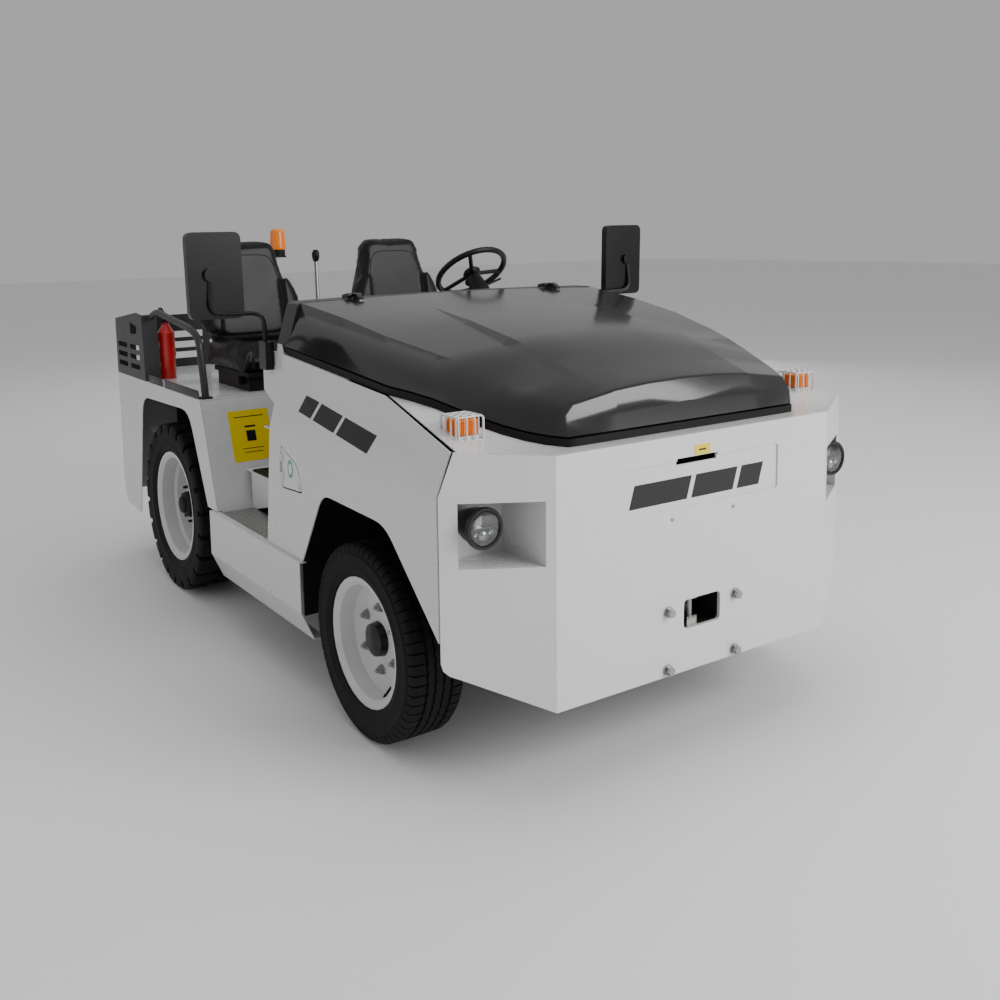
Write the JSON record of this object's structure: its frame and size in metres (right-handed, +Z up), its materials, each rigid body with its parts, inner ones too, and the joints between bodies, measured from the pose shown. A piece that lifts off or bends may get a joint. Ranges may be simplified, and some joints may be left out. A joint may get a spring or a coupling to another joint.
{
  "type": "airport tow tractor",
  "caption": "Two-seat electric baggage tug: swept steel front, hinged hood, open cab with steering, rear tray with guard, steered front wheels, tow jaw and stepped hitch.",
  "frame": {"origin": "on the ground, under the middle of the vehicle's overall box", "axes": "+Z up; the front faces -Y and the vehicle's left side is at +X"},
  "size_m": [2.291, 3.522, 1.75],
  "materials": {
    "body_white": "gloss",
    "hood_grey": "gloss",
    "guard_grey": "satin",
    "chassis_black": "satin",
    "seal_rubber": "matte",
    "tyre_rubber": "matte",
    "seat_vinyl": "satin",
    "moulded_black": "satin",
    "cast_grey": "plated",
    "amber_lens": "gloss",
    "red_paint": "gloss",
    "lamp_glass": "gloss"
  },
  "bodies": {
    "chassis": {"battery_block": "chassis_black", "beacon": "amber_lens", "charge_socket": "moulded_black", "chassis_frame": "chassis_black", "corner_lamp_left": "amber_lens", "corner_lamp_right": "amber_lens", "cowl_arch": "guard_grey", "cowl_side_left": "body_white", "cowl_side_right": "body_white", "dashboard": "moulded_black", "driver_seat_back": "seat_vinyl", "driver_seat_base": "moulded_black", "driver_seat_cushion": "seat_vinyl", "fire_extinguisher": "red_paint", "floor_plate": "body_white", "front_axle": "chassis_black", "front_hitch": "cast_grey", "front_ledge": "body_white", "front_plate": "body_white", "front_side_left": "body_white", "front_side_right": "body_white", "handrail_left": "guard_grey", "handrail_right": "guard_grey", "headlight_left": "lamp_glass", "headlight_right": "lamp_glass", "hood_seal": "seal_rubber", "mirror_left": "moulded_black", "mirror_right": "moulded_black", "park_brake_lever": "moulded_black", "passenger_seat_back": "seat_vinyl", "passenger_seat_base": "moulded_black", "passenger_seat_cushion": "seat_vinyl", "rear_axle": "chassis_black", "rear_compartment": "chassis_black", "rear_deck": "body_white", "rear_guard": "guard_grey", "rear_hitch": "chassis_black", "rear_plate": "body_white", "rear_side_left": "body_white", "rear_side_right": "body_white", "seat_riser": "body_white", "sill_left": "body_white", "sill_right": "body_white", "steering_column": "moulded_black", "wheel_housing_left": "chassis_black", "wheel_housing_right": "chassis_black"},
    "hood": {"hood": "hood_grey"},
    "charge_flap": {"charge_flap": "body_white"},
    "knuckle_right": {"knuckle_right": "chassis_black"},
    "knuckle_left": {"knuckle_left": "chassis_black"},
    "tie_rod": {"tie_rod": "chassis_black"},
    "steering_wheel": {"steering_wheel": "moulded_black"},
    "front_wheel_right": {"front_rim_right": "body_white", "front_tyre_right": "tyre_rubber"},
    "rear_wheel_right": {"rear_rim_right": "body_white", "rear_tyre_right": "tyre_rubber"},
    "front_wheel_left": {"front_rim_left": "body_white", "front_tyre_left": "tyre_rubber"},
    "rear_wheel_left": {"rear_rim_left": "body_white", "rear_tyre_left": "tyre_rubber"}
  },
  "joints": [
    {"name": "hood_hinge", "type": "hinge", "parent": "chassis", "child": "hood", "pos_m": [0, -0.328, 1.474], "axis": [-1, 0, 0], "range_deg": [0, 55]},
    {"name": "charge_flap_hinge", "type": "hinge", "parent": "chassis", "child": "charge_flap", "pos_m": [-0.9071, -0.4735, 0.855], "axis": [0, 0, -1], "range_deg": [0, 110]},
    {"name": "steer_right", "type": "hinge", "parent": "chassis", "child": "knuckle_right", "pos_m": [-0.64, -1.035, 0.341], "axis": [0, 0, 1], "range_deg": [-30, 30]},
    {"name": "steer_left", "type": "hinge", "parent": "chassis", "child": "knuckle_left", "pos_m": [0.64, -1.035, 0.341], "axis": [0, 0, 1], "range_deg": [-30, 30]},
    {"name": "tie_rod_pivot", "type": "hinge", "parent": "knuckle_right", "child": "tie_rod", "pos_m": [-0.64, -0.885, 0.301], "axis": [0, 0, 1], "range_deg": [-30, 30]},
    {"name": "steering_wheel_turn", "type": "hinge", "parent": "chassis", "child": "steering_wheel", "pos_m": [0.405, 0.158, 1.523], "axis": [0, 0.6266, 0.7793], "range_deg": [-360, 360]},
    {"name": "front_wheel_right_spin", "type": "hinge", "parent": "knuckle_right", "child": "front_wheel_right", "pos_m": [-0.78, -1.035, 0.341], "axis": [1, 0, 0], "continuous": true},
    {"name": "front_wheel_left_spin", "type": "hinge", "parent": "knuckle_left", "child": "front_wheel_left", "pos_m": [0.78, -1.035, 0.341], "axis": [1, 0, 0], "continuous": true},
    {"name": "rear_wheel_right_spin", "type": "hinge", "parent": "chassis", "child": "rear_wheel_right", "pos_m": [-0.75, 0.892, 0.408], "axis": [1, 0, 0], "continuous": true},
    {"name": "rear_wheel_left_spin", "type": "hinge", "parent": "chassis", "child": "rear_wheel_left", "pos_m": [0.75, 0.892, 0.408], "axis": [1, 0, 0], "continuous": true}
  ],
  "couplings": [
    {"joint": "steer_left", "follows": "steer_right", "ratio": 1},
    {"joint": "tie_rod_pivot", "follows": "steer_right", "ratio": -1},
    {"joint": "steering_wheel_turn", "follows": "steer_right", "ratio": 12}
  ]
}
